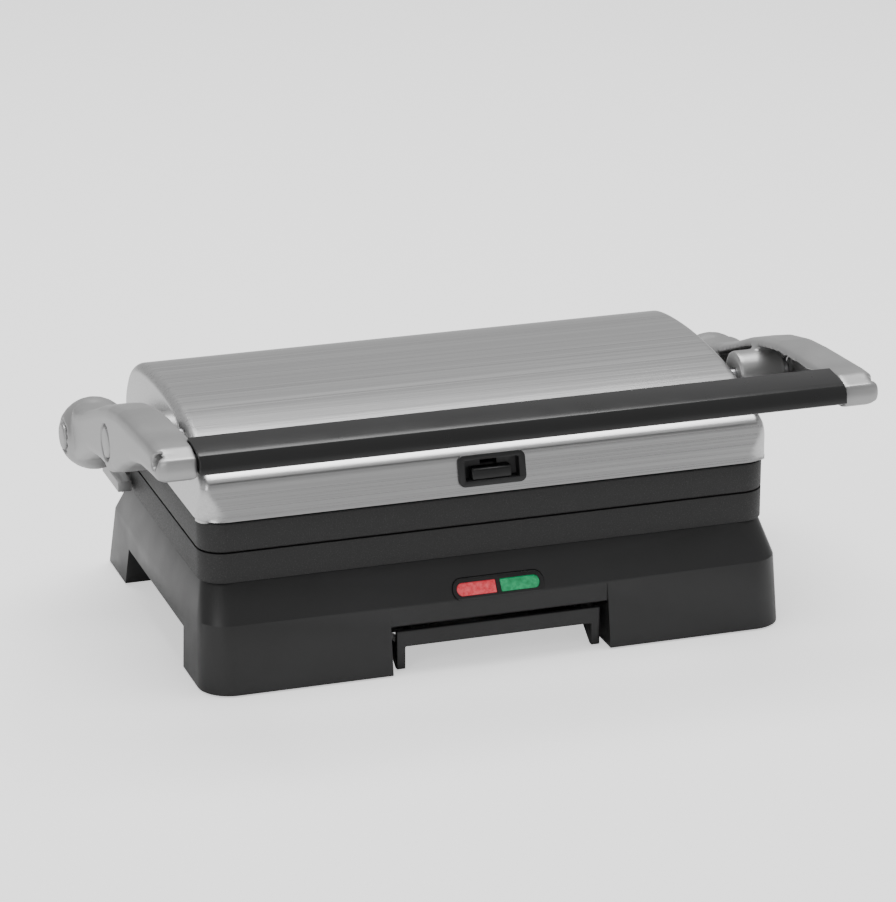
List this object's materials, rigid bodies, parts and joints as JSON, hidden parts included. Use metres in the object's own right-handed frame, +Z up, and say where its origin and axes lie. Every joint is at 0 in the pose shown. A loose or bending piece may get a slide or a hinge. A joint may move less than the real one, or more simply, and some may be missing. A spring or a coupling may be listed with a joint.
{
  "type": "panini press",
  "caption": "Compact contact grill: black base with ribbed plate and front drip tray, steel hood on two cast arms with a full-width handle bar.",
  "frame": {"origin": "middle of the whole press in plan, at the floor", "axes": "+X to the right seen from the front, +Y to the rear, +Z up"},
  "size_m": [0.367, 0.239, 0.1408],
  "materials": {
    "housing_black": "fine satin",
    "bar_black": "satin gloss",
    "grill_coating": "speckled non-stick coating",
    "brushed_steel": "brushed along X",
    "cast_arm": "satin cast",
    "plated_steel": "plain",
    "foot_rubber": "matte",
    "red_lens": "clear tinted",
    "green_lens": "clear tinted",
    "board_green": "plain",
    "insulator_white": "plain"
  },
  "bodies": {
    "base": {"base_housing": "housing_black", "bottom_cover": "housing_black", "cord_inlet": "bar_black", "cover_screw_1": "plated_steel", "cover_screw_2": "plated_steel", "cover_screw_3": "plated_steel", "cover_screw_4": "plated_steel", "front_left_foot": "foot_rubber", "front_right_foot": "foot_rubber", "green_light_lens": "green_lens", "left_hinge_bracket": "cast_arm", "light_bezel": "bar_black", "light_board": "board_green", "lower_grill_plate": "grill_coating", "lower_heat_reflector": "plated_steel", "lower_heating_element": "plated_steel", "rear_left_foot": "foot_rubber", "rear_right_foot": "foot_rubber", "red_light_lens": "red_lens", "right_hinge_bracket": "cast_arm", "terminal_block": "insulator_white", "thermal_fuse": "insulator_white", "thermostat": "insulator_white"},
    "drip_tray": {"drip_tray": "housing_black"},
    "latch": {"latch_slider": "bar_black"},
    "hinge_posts": {"left_hinge_post": "plated_steel", "right_hinge_post": "plated_steel", "left_hinge_pin": "plated_steel", "right_hinge_pin": "plated_steel"},
    "cover": {"lid_cover": "brushed_steel", "lid_liner": "housing_black", "upper_grill_plate": "grill_coating", "upper_heating_element": "plated_steel", "upper_heat_reflector": "plated_steel", "left_arm": "cast_arm", "right_arm": "cast_arm", "left_front_cap": "cast_arm", "right_front_cap": "cast_arm", "left_rear_cap": "cast_arm", "right_rear_cap": "cast_arm", "left_arm_bolt": "plated_steel", "right_arm_bolt": "plated_steel", "handle_bar": "bar_black", "handle_core": "plated_steel", "left_handle_screw": "plated_steel", "right_handle_screw": "plated_steel", "latch_bezel": "housing_black"}
  },
  "joints": [
    {"name": "hinge_float", "type": "slide", "parent": "base", "child": "hinge_posts", "axis": [0, 0, 1], "range_m": [0, 0.016]},
    {"name": "cover_hinge", "type": "hinge", "parent": "hinge_posts", "child": "cover", "pos_m": [0, 0.1005, 0.0725], "axis": [-1, 0, 0], "range_deg": [0, 180]},
    {"name": "latch_slide", "type": "slide", "parent": "cover", "child": "latch", "axis": [0, 0.2652, 0.9642], "range_m": [0, 0.0041]},
    {"name": "drip_tray_slide", "type": "slide", "parent": "base", "child": "drip_tray", "axis": [0, -1, 0], "range_m": [0, 0.09]}
  ]
}
